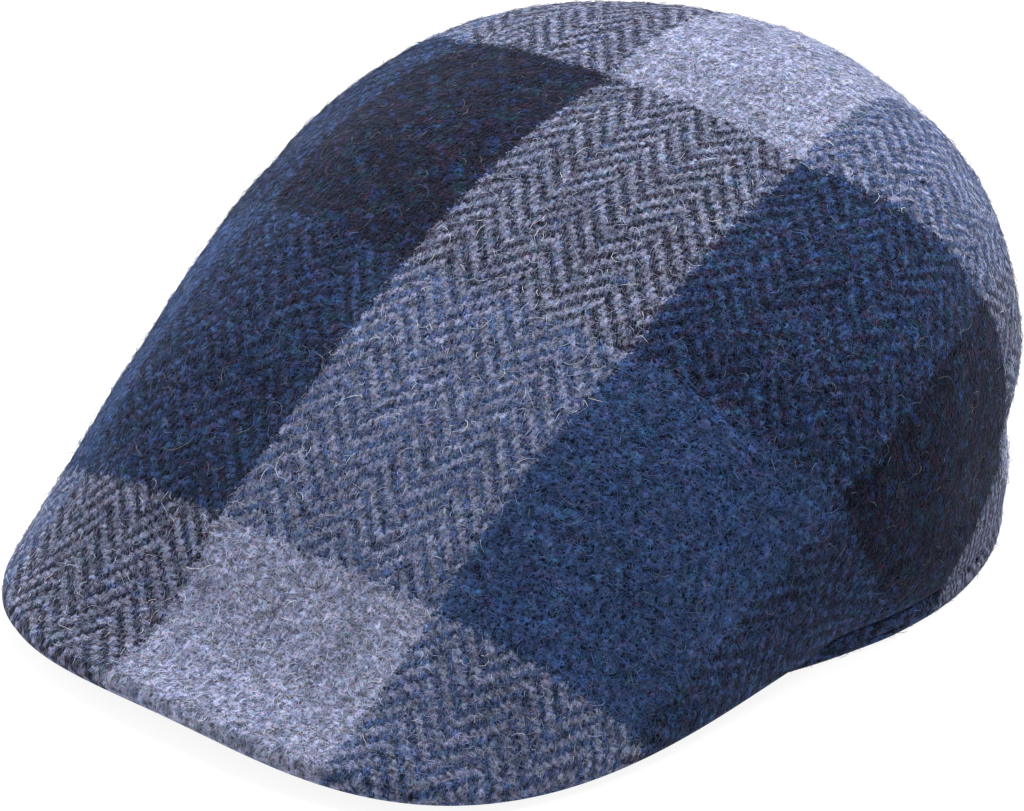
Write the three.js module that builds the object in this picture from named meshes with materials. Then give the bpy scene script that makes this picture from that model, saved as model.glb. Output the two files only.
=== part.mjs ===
// A flat cap of woollen cloth, in millimetres, +Z up.
// The peak points to -Y and the wearer's left is +X. The origin is under the middle of the cap,
// at the height of the hem it rests on.
//
// crown     one-piece cloth shell, from the peak's edge over the top to the back, open below
// peak      stiff peak and its under cloth, from the sewn edge back to the head opening
// hem_band  turned hem round the head opening: a lip below the crown and a turn-up inside it

import * as THREE from 'three';

// Cloth and gaps
const CLOTH = 1.6;              // wall of the crown
const GAP = 0.3;                // clearance between neighbouring pieces

// Head opening, an oval with its widest place at OPENING_Y
const OPENING_Y = 31.2;
const OPENING_HALF_WIDTH = 89.6;
const OPENING_BACK = 80.8;      // from the widest place to the back of the hem
const OPENING_FRONT = 100;       // from the widest place to the middle of the forehead

// Peak, a rounded square in plan
const PEAK_Y = -5.4;             // where its straight sides end and its front curve starts
const PEAK_REACH = 110;       // from there to the front edge
const PEAK_HALF_WIDTH = 86;
const PEAK_SQUARENESS = 3.2;    // 2 is an ellipse, more is squarer
const PEAK_ROUND = 2.8;         // radius of the cloth turned over the edge
const PEAK_THICK = 2.4;         // board and under cloth
const PEAK_TIP_THICK = 1;       // the same at its two tips beside the hem
const PEAK_TAPER = 30;          // length over which it thins
const PEAK_INSET = 0.2;         // board's edge, in from the cloth's
const PEAK_ENDS_Y = -4;         // where the board runs out beside the hem
const TEMPLE_Y = 5.6;             // where the peak's side runs into the hem
const TEMPLE_BLEND = 14;        // half the length over which it does so

// Heights of the seam between the crown and what lies under it
const SEAM_HEM = 6.3;           // round the sides and back
const SEAM_FRONT = 7;         // middle of the peak's edge
const SEAM_CORNER = 3.6;        // at the peak's rounded corners
const SEAM_CORNER_ANGLE = 30;   // angles round the pole where it is lowest and back at the hem's
const SEAM_HEM_ANGLE = 56;

// Crown's top
const POLE_Y = 51.6;              // place in plan that all sections of the crown run to
const POLE_HEIGHT = 99.6;
const POLE_SLOPE = 0.1;        // rise of the top towards the back at that place

// Sections of the crown by their angle round the pole, 0 at the front and 180 at the back.
// lean is the angle at which the wall leaves the edge, 90 for upright and more for outwards.
// belly is the length of the wall's lower curve and shoulder that of the curve into the top.
const SECTION_STEP = 30;
const SECTIONS = [
  { angle: 0, lean: -4, belly: 34, shoulder: 113 },
  { angle: 30, lean: 58, belly: 49, shoulder: 93 },
  { angle: 60, lean: 109, belly: 55, shoulder: 81 },
  { angle: 90, lean: 100, belly: 60, shoulder: 84 },
  { angle: 120, lean: 100, belly: 56, shoulder: 69 },
  { angle: 150, lean: 103, belly: 51, shoulder: 58 },
  { angle: 180, lean: 104, belly: 51, shoulder: 56 },
];

// Soft folds of the wall, where it sinks in. side is 1 for the wearer's left, spread is half the
// fold's length in degrees, tall is half its height, and depth is how far in it goes.
const FOLDS = [
  { side: 1, angle: 108, spread: 26, height: 27, tall: 9, depth: 3.4 },
  { side: 1, angle: 72, spread: 8, height: 42, tall: 16, depth: 1 },
  { side: -1, angle: 101, spread: 24, height: 24, tall: 9, depth: 2.2 },
];

// Hem, a lip under the crown and a turn-up inside it
const LIP_INSET = 0.8;          // lip's outside, in from the opening's oval
const LIP_TOP = 6;
const TURN_UP_INSET = 2.7;
const TURN_UP_TOP = 17;
const HEM_CLOTH = 1.3;
const HEM_FRONT_RISE = 8;       // lift of the hem over the forehead
const HEM_RISE_FROM = 12;       // angles round the oval between which it comes down again
const HEM_RISE_TO = 62;

// Fineness of the facets
const EDGE_STEPS = 36;          // from the front to the back on one side
const FINE_STEPS = 240;         // for measuring along a curve
const WALL_STEPS = 17;
const ROUND_STEPS = 2;
const PEAK_STEPS = 6;
const SEAM_LIFT = 0.4;          // upright start of the crown's wall above its seam

const { degToRad, radToDeg, lerp, smoothstep } = THREE.MathUtils;

// One column of SECTIONS at any angle, by a curve through the rows that is level at both ends.
function section(column, angle) {
  const last = SECTIONS.length - 1;
  const place = Math.min(angle / SECTION_STEP, last - 1e-6);
  const row = Math.floor(place);
  const part = place - row;
  const at = (i) => SECTIONS[i > last ? 2 * last - i : Math.abs(i)][column];
  const startSlope = (at(row + 1) - at(row - 1)) / 2;
  const endSlope = (at(row + 2) - at(row)) / 2;
  const rise = at(row + 1) - at(row);
  const bend = 3 * rise - 2 * startSlope - endSlope;
  const twist = startSlope + endSlope - 2 * rise;
  return at(row) + part * (startSlope + part * (bend + part * twist));
}

// Point of the head opening's oval, and the way into the opening there. 0 is the forehead.
function opening(turn) {
  const length = Math.cos(turn) > 0 ? OPENING_FRONT : OPENING_BACK;
  const point = new THREE.Vector2(OPENING_HALF_WIDTH * Math.sin(turn),
    OPENING_Y - length * Math.cos(turn));
  const inward = new THREE.Vector2(-length * Math.sin(turn),
    OPENING_HALF_WIDTH * Math.cos(turn)).normalize();
  return { turn, point, inward };
}

// Left half of the crown's edge in plan, from the middle of the peak to the middle of the back.
function halfEdge() {
  const points = [];
  for (let i = 0; i < FINE_STEPS; i += 1) {
    const turn = (i / FINE_STEPS) * Math.PI / 2;
    const x = PEAK_HALF_WIDTH * Math.sin(turn) ** (2 / PEAK_SQUARENESS);
    const y = PEAK_Y - PEAK_REACH * Math.cos(turn) ** (2 / PEAK_SQUARENESS);
    points.push(new THREE.Vector2(x, y));
  }
  for (let i = 0; i <= FINE_STEPS; i += 1) {
    const { point } = opening((i / FINE_STEPS) * Math.PI);
    if (point.y > PEAK_Y) {
      const hem = smoothstep(point.y, TEMPLE_Y - TEMPLE_BLEND, TEMPLE_Y + TEMPLE_BLEND);
      points.push(new THREE.Vector2(lerp(PEAK_HALF_WIDTH, point.x, hem), point.y));
    }
  }
  return points;
}

// A line of points cut into equal steps.
function evenly(points, steps) {
  const along = [0];
  for (let i = 1; i < points.length; i += 1) {
    along.push(along[i - 1] + points[i].distanceTo(points[i - 1]));
  }
  const out = [];
  let k = 1;
  for (let i = 0; i <= steps; i += 1) {
    const wanted = (along.at(-1) * i) / steps;
    while (k < along.length - 1 && along[k] < wanted) k += 1;
    const part = (wanted - along[k - 1]) / (along[k] - along[k - 1]);
    out.push(points[k - 1].clone().lerp(points[k], part));
  }
  return out;
}

// What a section of the crown at one point of its left edge is worked out from.
function station(point, side = 1) {
  const out = new THREE.Vector2(point.x, point.y - POLE_Y);
  const radius = out.length();
  const angle = radToDeg(Math.atan2(Math.abs(point.x), POLE_Y - point.y));
  const peak = 1 - smoothstep(point.y, TEMPLE_Y - TEMPLE_BLEND, TEMPLE_Y);
  const front = lerp(SEAM_FRONT, SEAM_CORNER, smoothstep(angle, 0, SEAM_CORNER_ANGLE));
  const seam = lerp(front, SEAM_HEM, smoothstep(angle, SEAM_CORNER_ANGLE, SEAM_HEM_ANGLE));
  return { side, radius, angle, seam, out: out.divideScalar(radius), round: PEAK_ROUND * peak };
}

// How far the folds take the wall in at one height of a section.
function foldDepth({ side, angle }, height) {
  return FOLDS.filter((fold) => fold.side === side).reduce((sum, fold) => {
    const along = (angle - fold.angle) / fold.spread;
    const up = (height - fold.height) / fold.tall;
    return sum + fold.depth * Math.exp(-along * along - up * up);
  }, 0);
}

// Outside of the crown in one section, as radius and height from the seam up to the pole.
function crownProfile(at) {
  const { radius, angle, seam, round } = at;
  const lean = degToRad(section('lean', angle));
  const belly = section('belly', angle);
  const shoulder = section('shoulder', angle);
  const centre = radius - round;
  const sweep = Math.max(Math.PI / 2 - lean, 0);
  const rounded = (part) => new THREE.Vector2(centre + round * Math.cos(part * sweep),
    seam + SEAM_LIFT * part + round * Math.sin(part * sweep));
  const points = [];
  for (let i = 0; i < ROUND_STEPS; i += 1) points.push(rounded(i / ROUND_STEPS));
  const start = rounded(1);
  const wall = new THREE.CubicBezierCurve(
    start,
    new THREE.Vector2(start.x - belly * Math.cos(lean), start.y + belly * Math.sin(lean)),
    new THREE.Vector2(shoulder, POLE_HEIGHT - POLE_SLOPE * shoulder * Math.cos(degToRad(angle))),
    new THREE.Vector2(0, POLE_HEIGHT),
  );
  points.push(...wall.getSpacedPoints(WALL_STEPS));
  points.slice(0, -1).forEach((point) => {
    point.x -= foldDepth(at, point.y);
  });
  return points;
}

// Radius of the crown's outside at a height in one section.
function crownRadius(at, height) {
  const profile = crownProfile(at);
  const k = profile.findIndex((point) => point.y > height);
  const [below, above] = [profile[k - 1], profile[k]];
  return lerp(below.x, above.x, (height - below.y) / (above.y - below.y));
}

function mirrored(point) {
  return new THREE.Vector3(-point.x, point.y, point.z);
}

// Sections once round the cap, down its left side and back up its right, from those of the left
// half's places. make gives a section of the left half, or of the right half before it's mirrored.
function bothSides(places, make) {
  const left = places.map((place) => make(place, 1));
  const right = places.slice(1, -1).reverse().map((place) => make(place, -1).map(mirrored));
  return left.concat(right);
}

function geometryOf(points, triangles) {
  const geometry = new THREE.BufferGeometry();
  const flat = points.flatMap((point) => [point.x, point.y, point.z]);
  geometry.setAttribute('position', new THREE.Float32BufferAttribute(flat, 3));
  geometry.setIndex(triangles.flat());
  geometry.computeVertexNormals();
  return geometry;
}

// Solid whose cross-sections are closed loops of points, either once round or capped at both ends.
function loopSolid(loops, round) {
  const count = loops[0].length;
  const triangles = [];
  const lastLoop = round ? loops.length : loops.length - 1;
  for (let i = 0; i < lastLoop; i += 1) {
    const here = i * count;
    const there = ((i + 1) % loops.length) * count;
    for (let k = 0; k < count; k += 1) {
      const next = (k + 1) % count;
      triangles.push([here + k, there + k, here + next]);
      triangles.push([here + next, there + k, there + next]);
    }
  }
  if (!round) {
    const end = (loops.length - 1) * count;
    for (let k = 0; k + 1 < count / 2; k += 1) {
      const [low, high] = [k, count - 1 - k];
      triangles.push([low, low + 1, high], [high, low + 1, high - 1]);
      triangles.push([end + low, end + high, end + low + 1]);
      triangles.push([end + high, end + high - 1, end + low + 1]);
    }
  }
  return geometryOf(loops.flat(), triangles);
}

// One dome of the crown: every section's points but the last, then the pole they share.
function dome(sections) {
  const across = sections[0].length - 1;
  const points = sections.flatMap((line) => line.slice(0, across));
  const pole = points.length;
  points.push(sections[0][across]);
  const triangles = [];
  sections.forEach((line, i) => {
    const here = i * across;
    const there = ((i + 1) % sections.length) * across;
    for (let k = 0; k + 1 < across; k += 1) {
      triangles.push([here + k, there + k, here + k + 1]);
      triangles.push([here + k + 1, there + k, there + k + 1]);
    }
    triangles.push([here + across - 1, there + across - 1, pole]);
  });
  return { points, triangles, across };
}

function crownGeometry() {
  const outside = dome(bothSides(evenly(halfEdge(), EDGE_STEPS), (point, side) => {
    const at = station(point, side);
    return crownProfile(at).map(({ x, y }) =>
      new THREE.Vector3(at.out.x * x, POLE_Y + at.out.y * x, y));
  }));
  const normals = geometryOf(outside.points, outside.triangles).getAttribute('normal');
  const inside = outside.points.map((point, i) => {
    const normal = new THREE.Vector3().fromBufferAttribute(normals, i);
    if (i % outside.across === 0 && i < outside.points.length - 1) normal.setZ(0).normalize();
    return point.clone().addScaledVector(normal, -CLOTH);
  });
  const shift = outside.points.length;
  const inner = outside.triangles.map(([a, b, c]) => [a + shift, c + shift, b + shift]);
  const rim = [];
  const sections = (shift - 1) / outside.across;
  for (let i = 0; i < sections; i += 1) {
    const here = i * outside.across;
    const there = ((i + 1) % sections) * outside.across;
    rim.push([here, here + shift, there], [there, here + shift, there + shift]);
  }
  return geometryOf(outside.points.concat(inside), [...outside.triangles, ...inner, ...rim]);
}

function hemRise(turn) {
  return HEM_FRONT_RISE * (1 - smoothstep(radToDeg(Math.abs(turn)), HEM_RISE_FROM, HEM_RISE_TO));
}

// The hem's cross-section at one place of the opening: an L with its foot outwards.
function hemLoop(turn, side) {
  const { point, inward } = opening(turn);
  const at = station(point, side);
  const rise = hemRise(turn);
  const besideCrown = smoothstep(point.y, TEMPLE_Y, TEMPLE_Y + TEMPLE_BLEND);
  const wall = Math.max(at.radius - crownRadius(at, TURN_UP_TOP), 0) * besideCrown;
  const corner = (inset, height) => new THREE.Vector3(point.x + inward.x * inset,
    point.y + inward.y * inset, height);
  return [
    corner(LIP_INSET, rise),
    corner(LIP_INSET, rise + LIP_TOP),
    corner(TURN_UP_INSET, rise + LIP_TOP),
    corner(TURN_UP_INSET + wall, TURN_UP_TOP),
    corner(TURN_UP_INSET + wall + HEM_CLOTH, TURN_UP_TOP),
    corner(TURN_UP_INSET + HEM_CLOTH, rise),
  ];
}

function hemGeometry() {
  const turns = [];
  for (let i = 0; i <= EDGE_STEPS; i += 1) turns.push((i / EDGE_STEPS) * Math.PI);
  return loopSolid(bothSides(turns, hemLoop), true);
}

// The peak's cross-sections, each a flat loop from the hem out to the edge and back underneath.
function peakGeometry() {
  const edge = evenly(halfEdge(), EDGE_STEPS).filter((point) => point.y < PEAK_ENDS_Y);
  const endTurn = Math.acos((OPENING_Y - PEAK_ENDS_Y) / OPENING_FRONT);
  const left = edge.map((point, i) => {
    const hem = opening((endTurn * i) / (edge.length - 1));
    const at = station(point);
    const outer = point.clone().addScaledVector(at.out, -PEAK_INSET);
    const inner = hem.point.clone().addScaledVector(hem.inward, LIP_INSET - GAP);
    const innerTop = LIP_TOP + hemRise(hem.turn);
    const outerTop = at.seam - GAP;
    const tip = smoothstep(point.y, PEAK_ENDS_Y - PEAK_TAPER, PEAK_ENDS_Y);
    const thick = lerp(PEAK_THICK, PEAK_TIP_THICK, tip);
    const on = (part, drop) => {
      const plan = outer.clone().lerp(inner, part);
      return new THREE.Vector3(plan.x, plan.y, lerp(outerTop, innerTop, part ** 1.5) - drop);
    };
    const turned = Math.min(0.5, thick / outer.distanceTo(inner));
    const top = [];
    const bottom = [];
    for (let k = 0; k <= PEAK_STEPS; k += 1) {
      const part = k / PEAK_STEPS;
      top.unshift(on(part, 0));
      bottom.push(on(lerp(0.7 * turned, 1, part), thick));
    }
    const edgeRound = [on(0.1 * turned, thick * 0.5), on(0.3 * turned, thick * 0.85)];
    return [...top, ...edgeRound, ...bottom];
  });
  const right = left.slice(1).map((loop) => loop.map(mirrored));
  return loopSolid([...left.reverse(), ...right], false);
}

const cap = new THREE.Group();

function addPiece(name, geometry, colour) {
  const material = new THREE.MeshStandardMaterial({ color: colour, roughness: 0.95, metalness: 0 });
  const mesh = new THREE.Mesh(geometry, material);
  mesh.name = name;
  cap.add(mesh);
}

addPiece('crown', crownGeometry(), 0x3d4b6e);
addPiece('peak', peakGeometry(), 0x2b3350);
addPiece('hem_band', hemGeometry(), 0x2a3048);

export default cap;
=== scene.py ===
import math

import bpy
import numpy as np
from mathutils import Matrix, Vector


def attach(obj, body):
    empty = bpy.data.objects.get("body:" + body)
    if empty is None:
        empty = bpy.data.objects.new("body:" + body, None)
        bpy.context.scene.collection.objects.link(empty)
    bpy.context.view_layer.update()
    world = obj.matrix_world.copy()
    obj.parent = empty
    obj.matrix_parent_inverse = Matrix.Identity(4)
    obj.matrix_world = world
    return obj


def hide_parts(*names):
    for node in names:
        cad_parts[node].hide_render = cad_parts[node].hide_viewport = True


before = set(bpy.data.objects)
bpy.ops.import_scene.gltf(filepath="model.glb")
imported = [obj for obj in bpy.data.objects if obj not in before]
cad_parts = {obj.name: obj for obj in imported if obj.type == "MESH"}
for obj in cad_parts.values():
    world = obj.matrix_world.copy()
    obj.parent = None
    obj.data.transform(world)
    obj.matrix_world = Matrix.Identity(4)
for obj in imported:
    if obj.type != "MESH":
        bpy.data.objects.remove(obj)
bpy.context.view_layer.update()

# ---------------------------------------------------------------- sizes and colours

MM = 0.001  # a millimetre in metres

# Sizes in millimetres, the same as in the part's source. +Y is the back of the cap.
CLOTH = 1.6  # wall of the crown
GAP = 0.3  # clearance between neighbouring pieces
OPENING_Y = 31.2
OPENING_HALF_WIDTH = 89.6
OPENING_BACK = 80.8  # from the widest place to the back of the hem
OPENING_FRONT = 100  # from the widest place to the middle of the forehead
PEAK_Y = -5.4  # where its straight sides end and its front curve starts
PEAK_REACH = 110  # from there to the front edge
PEAK_HALF_WIDTH = 86
PEAK_SQUARENESS = 3.2  # 2 is an ellipse, more is squarer
PEAK_ROUND = 2.8  # radius of the cloth turned over the edge
PEAK_THICK = 2.4  # board and under cloth
PEAK_TIP_THICK = 1  # the same at its two tips beside the hem
PEAK_TAPER = 30  # length over which it thins
PEAK_ENDS_Y = -4  # where the board runs out beside the hem
TEMPLE_Y = 5.6  # where the peak's side runs into the hem
TEMPLE_BLEND = 14  # half the length over which it does so
SEAM_HEM = 6.3  # seam's height round the sides and back
SEAM_FRONT = 7  # the same in the middle of the peak's edge
SEAM_CORNER = 3.6  # and at the peak's rounded corners
SEAM_CORNER_ANGLE = 30  # angles round the pole where it is lowest and back at the hem's
SEAM_HEM_ANGLE = 56
SEAM_LIFT = 0.4  # upright start of the crown's wall above its seam
POLE_Y = 51.6  # place in plan that all sections of the crown run to
POLE_HEIGHT = 99.6
POLE_SLOPE = 0.1  # rise of the top towards the back at that place
LIP_INSET = 0.8  # lip's outside, in from the opening's oval
LIP_TOP = 6
TURN_UP_INSET = 2.7
TURN_UP_TOP = 17
HEM_CLOTH = 1.3
HEM_FRONT_RISE = 8  # lift of the hem over the forehead
HEM_RISE_FROM = 12  # angles round the oval between which it comes down again
HEM_RISE_TO = 62

# The crown's upright sections, every SECTION_STEP degrees from the front to the back.
SECTION_STEP = 30
SECTIONS = [
    {"lean": -4, "belly": 34, "shoulder": 113},
    {"lean": 58, "belly": 49, "shoulder": 93},
    {"lean": 109, "belly": 55, "shoulder": 81},
    {"lean": 100, "belly": 60, "shoulder": 84},
    {"lean": 100, "belly": 56, "shoulder": 69},
    {"lean": 103, "belly": 51, "shoulder": 58},
    {"lean": 104, "belly": 51, "shoulder": 56},
]
FOLDS = [
    {"side": 1, "angle": 108, "spread": 26, "height": 27, "tall": 9, "depth": 3.4},
    {"side": 1, "angle": 72, "spread": 8, "height": 42, "tall": 16, "depth": 1},
    {"side": -1, "angle": 101, "spread": 24, "height": 24, "tall": 9, "depth": 2.2},
]
FOLDS_FADE = 10  # radius round the pole within which they fade out

# Sizes that only the dressed cap has.
TURN_UNDER = 2.5  # how far the crown's edge is turned under at the peak
PEAK_ROLL = 3.1  # under cloth's edge, in from the crown's
PEAK_TIP_INSET = 0.4  # the same at the peak's two tips
UNDER_CURVE = 1.5  # 1 is a straight underside, more curves up later on the way in
UNDER_ROUND = 0.5  # largest share of the way in that its edge is rounded over
UNDER_EDGE = 0.35  # share of the thickness that is left at the very edge
HEM_BULGE = 0.2  # lip's outside round the sides and back, in from the oval
HEM_OUTER_POINT = 3  # step of the hem's outline that lies on its outside
HEM_THREAD_ROW = 3  # row up the crown that gives its threads' way at the hem
HEM_THREAD_BACK = 1  # how far before the crown's edge the hem's cloth starts

# How fine the meshes are: columns round the edge, and steps and points along a section.
COLUMNS = 440
ROWS = 104
EASE_COLUMNS = 88  # on the coarser crown that the cloth is eased over
EASE_ROWS = 26
HEM_STEPS = 36
UNDER_STEPS = 26
FINE_STEPS = 240  # along a quarter of the edge's outline
TURNED_POINTS = 7  # on the cloth turned under the peak's edge
ROUNDED_POINTS = 9  # on the edge itself
WALL_POINTS = 300  # from there to the top
RADIUS_ROWS = 60
NO_PEAK = 0.02  # share of the peak's shape under which the crown's edge isn't turned under
SAME_POINT = 1e-6  # metres within which points are joined
TINY = 1e-9

# The woven check. Places are on the flat cloth, and widths are counted in threads. Its
# repeat has bands of dark, light and blue warp ends, and of blue, dark and light picks.
END = 1.28  # millimetres from one warp thread to the next
PICK = 1.29  # the same for the weft
HERRINGBONE_START = 58.5
HERRINGBONE_ENDS = 16
RISING_ENDS = 7
TWILL_REPEAT = 4
FLOAT_LONG = 2  # threads that a yarn passes over before it dips
WARP_START = -38
WARP_BANDS = (39, 48, 47)
WEFT_START = 37
WEFT_BANDS = (53, 52, 53)

# The corners between the check's patches: where each is on the flat cloth and on the cap.
PATCH_CORNERS = [
    {"across": 10, "along": 47.5, "at": (-59.8, -77, 27)},
    {"across": 10, "along": 116, "at": (-52.8, -21, 72.5)},
    {"across": 10, "along": 183.5, "at": (-49, 38, 91)},
    {"across": 60, "along": 3, "at": (-18, -114.5, 8.5)},
    {"across": 60, "along": 47.5, "at": (-19.5, -78, 32)},
    {"across": 60, "along": 116, "at": (-11, -25.5, 76)},
    {"across": 60, "along": 183.5, "at": (-3.5, 35, 97)},
    {"across": 121, "along": 3, "at": (40, -111.7, 7)},
    {"across": 121, "along": 47.5, "at": (42, -77.5, 31.5)},
    {"across": 121, "along": 116, "at": (50.5, -23.3, 72)},
    {"across": 121, "along": 183.5, "at": (45.5, 36, 92.5)},
    {"across": 181, "along": 47.5, "at": (80.5, -61, 11.5)},
    {"across": 181, "along": 116, "at": (88.7, 2.5, 45)},
    {"across": 181, "along": 183.5, "at": (82, 55, 69)},
    {"across": 226, "along": 116, "at": (90, 33, 7)},
    {"across": 226, "along": 183.5, "at": (89.5, 52, 37)},
]

# How the flat cloth is eased over the crown, from the plan of the crown, a little stretched.
# It is held at the corners of the patches and cut open at the darts.
EASE_ROUNDS = 30
EDGE_STIFFNESS = (0.05, 20)  # least and most
CORNER_HOLD = 6
CORNER_POINTS = 4
CORNER_SPREAD = 50  # square millimetres
FIRST_MIDDLE = (75, 200)
FIRST_STRETCH = (1.3, 1.2)
DART_COLUMN = 36
DART_ROWS = 17

# The cloth's relief: seams at the darts, creases, and low waves that run different ways.
DART_SINKS = 0.9
DART_SWELLS = 0.3
DART_WIDE = 2.0
DART_SWELL_AT = 3  # in widths of the dart
DART_SWELL_WIDE = 1.6
DART_REACH = 12  # columns beside the seam
DART_FADE = (5, -12)  # rows past the dart's top where it is gone and where it is full
CREASES = [
    {"from": (63, 54, 88), "to": (72, 76, 68), "deep": 1.0, "wide": 1.7},
    {"from": (91, 17, 53), "to": (94, 18, 39), "deep": 0.6, "wide": 5},
    {"from": (-62, -80, 22), "to": (-60, -76, 27), "deep": 0.8, "wide": 12},
]
WAVES = [
    {"x": 0.9, "y": 0.3, "z": 0.3, "long": 31, "start": 0.4, "size": 0.12},
    {"x": -0.4, "y": 0.8, "z": 0.4, "long": 27, "start": 2.1, "size": 0.12},
    {"x": 0.5, "y": -0.6, "z": 0.6, "long": 17, "start": 4.0, "size": 0.08},
    {"x": 0.8, "y": 0.6, "z": -0.2, "long": 12, "start": 1.2, "size": 0.05},
]
WAVES_RISE = (8, 24)  # heights between which the waves come in

# Yarns, and wools of other colours spun into them: a noise channel, a colour, and where the
# colour starts and is full.
LIGHT_YARN = (0.150, 0.164, 0.240)
BLUE_YARN = (0.0148, 0.0272, 0.0675)
DARK_YARN = (0.0040, 0.0046, 0.0112)
TINTS = (
    (0, (0.0085, 0.0015, 0.003), 0.50, 0.66),
    (1, (0.000, 0.009, 0.011), 0.50, 0.66),
    (2, (0.002, 0.009, 0.038), 0.52, 0.68),
)
SPECKS = (
    (0, (0.020, 0.0025, 0.0045), 0.70, 0.80),
    (1, (0.003, 0.030, 0.032), 0.69, 0.79),
    (2, (0.010, 0.017, 0.050), 0.69, 0.79),
)

# How loose the cloth is: how far threads wander and fray in millimetres, and how many
# threads a patch's edge moves either way.
WANDER = 2.2
FRAY = 0.75
MINGLE = 5.0

# The mat of fibres over the weave. Each set of strokes has an angle and a place in the
# noise, and each set of curling lines a scale and a place. A pair of numbers after them is
# where in the noise something starts and where it is full.
STROKES = ((22, 3.0), (118, 29.0))
STROKE_LONG = 1.6
STROKE_FINE = 0.36
STROKE_SHOWS = (0.48, 0.74)
STROKE_FULL = 0.7
TUFT_SHOWS = (0.38, 0.62)
CURLS = ((0.45, 5.0), (0.6, 31.0), (0.8, 57.0))
CURL_WIDE = (0.006, 0.06)
CURL_SHOWS = (0.44, 0.54)

# How the yarns mix, as a pair of numbers for dark and for pale patches: how clearly the
# weave shows, and how much of the darker yarn is mixed in over both as painted shade,
# standing in for the shadow that the loose fibres cast where unlike yarns mix.
PATCH_GREYS = (0.02, 0.07)
WEAVE_SHOWS = (0.64, 0.8)
PAINTED_SHADE_BY_DARKER = (0.08, 0.26)
TUFT_MIXES = 0.45
WARP_SHARE = 0.505
CORE_HEIGHT = (0.0, 0.7)  # how high up a yarn its own colour comes in and is full

# How bright each thing makes the cloth where there is least of it and where there is most.
YARN_GREYS = (0.03, 0.13)  # what counts as a dark and as a pale yarn here
MAT_TONE_DARK = (0.16, 2.25)
MAT_TONE_PALE = (0.44, 1.68)
MAT_ROUGHNESS = (0.97, 0.82)
CLUMP_TONE = (0.68, 1.32)
WORN_TONE = (0.9, 1.1)
GAP_TONE = (0.78, 1.05)
GAP_HEIGHT = (0.0, 0.8)  # how high the gaps between the yarns go
HUE_RED = (0.84, 1.2)
HUE_BLUE = (0.88, 1.14)
FLOOR_TONE = (0.985, 1.0)
RELIEF = 0.5  # millimetres
RELIEF_SHOWS = 0.8

# A yarn's colour changes slowly along its length, and each yarn's in its own way.
MELANGE_TONE = (0.7, 1.35)
MELANGE_END = 7.31
MELANGE_PICK = 5.17
MELANGE_ALONG = 0.14
MELANGE_WEFT = 40.0

# The grain of every noise, for places in millimetres, and what most of it lies between.
NOISES = {
    "wander": {"scale": 0.3, "detail": 4.0, "rough": 0.68},
    "fray": {"scale": 3.0, "detail": 1.0},
    "stroke": {"scale": 1.0, "detail": 1.0, "distortion": 0.35},
    "curl": {"detail": 1.0, "rough": 0.4},
    "mingle": {"scale": 1.3, "rough": 0.65},
    "melange": {"scale": 1.0},
    "hue": {"scale": 0.8, "rough": 0.7, "distortion": 0.5},
    "tint": {"scale": 0.3, "detail": 3.0, "rough": 0.62, "distortion": 0.4},
    "speck": {"scale": 1.15, "detail": 1.0, "distortion": 0.6},
    "clump": {"scale": 0.5, "rough": 0.6},
    "worn": {"scale": 0.045, "detail": 3.0},
    "floor": {"scale": 3.0},
}
MOST_NOISE = (0.3, 0.7)
MELANGE_NOISE = (0.25, 0.75)

# Loose fibres, in millimetres. Short ones stand out of the fulled wool all over, curly ones
# lie over it, and a few long pale ones curl about.
FUZZ_PIECES = ("fuzz_left_front", "fuzz_left_back", "fuzz_right_back", "fuzz_right_front")
SHORT_FIBRES = 8000
CURLY_FIBRES = 4200
LONG_FIBRES = 60
HEM_SHORT_FIBRES = 2800
HEM_CURLY_FIBRES = 1000
FIBRE_RADIUS = 0.045
FIBRE_FIRST_ROW = 4  # row of the crown that they start from
HEM_OUTER_STEPS = (2, 14)  # steps of the hem's outline that have them
FIBRE_ROOT = 0.12  # depth of a root in the cloth
FIBRE_FLOOR = 0.15  # lowest that a fibre hangs
FIBRE_TILT = 0.3
SHORT_PARTS = (0, 0.55, 1)
SHORT_BEND = 0.62  # how far a short fibre's tip comes down again
SHORT_HOOK = 0.2  # how much less far it reaches as it turns aside
CURLY_STEPS = 4
LONG_STEPS = 10
FIBRE_LIGHTER = 1.8  # than its yarn, because light shines through it
FIBRE_VARIES = 0.6
FIBRE_PALE = (0.018, 0.020, 0.027)
LONG_PALE = (0.10, 0.105, 0.12)
FLECKS = [
    {"share": 0.030, "colour": (0.16, 0.17, 0.19)},
    {"share": 0.007, "colour": (0.11, 0.015, 0.022)},
    {"share": 0.010, "colour": (0.03, 0.09, 0.09)},
    {"share": 0.012, "colour": (0.05, 0.09, 0.30)},
]

# Their random sizes: least and most, or the least with a gamma draw's shape and scale.
# Rises are shares of the length, turnings are angles in radians, and thicknesses are in
# shares of FIBRE_RADIUS.
SHORT_LENGTH = (1.0, 2.0, 0.55)
SHORT_RISE = (0.12, 1.5, 0.16)
SHORT_CURL = 0.45
SHORT_THICK = (0.8, 1.3)
CURLY_LENGTH = (2.2, 5.0)
CURLY_RISE = (0.06, 1.5, 0.09)
CURLY_TURNING = 2.6
CURLY_THICK = (0.9, 1.4)
LONG_LENGTH = (4, 12)
LONG_RISE = (0.08, 0.28)
LONG_TURNING = (2.0, 5.0)
LONG_THICK = 0.85
LONG_OWN_COLOUR = 0.6
CURL_DRIFT = 0.35
CURL_DESCENT = 2.9  # angle that a fibre has turned down by at its tip
BRIGHTEST = 0.7

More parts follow.
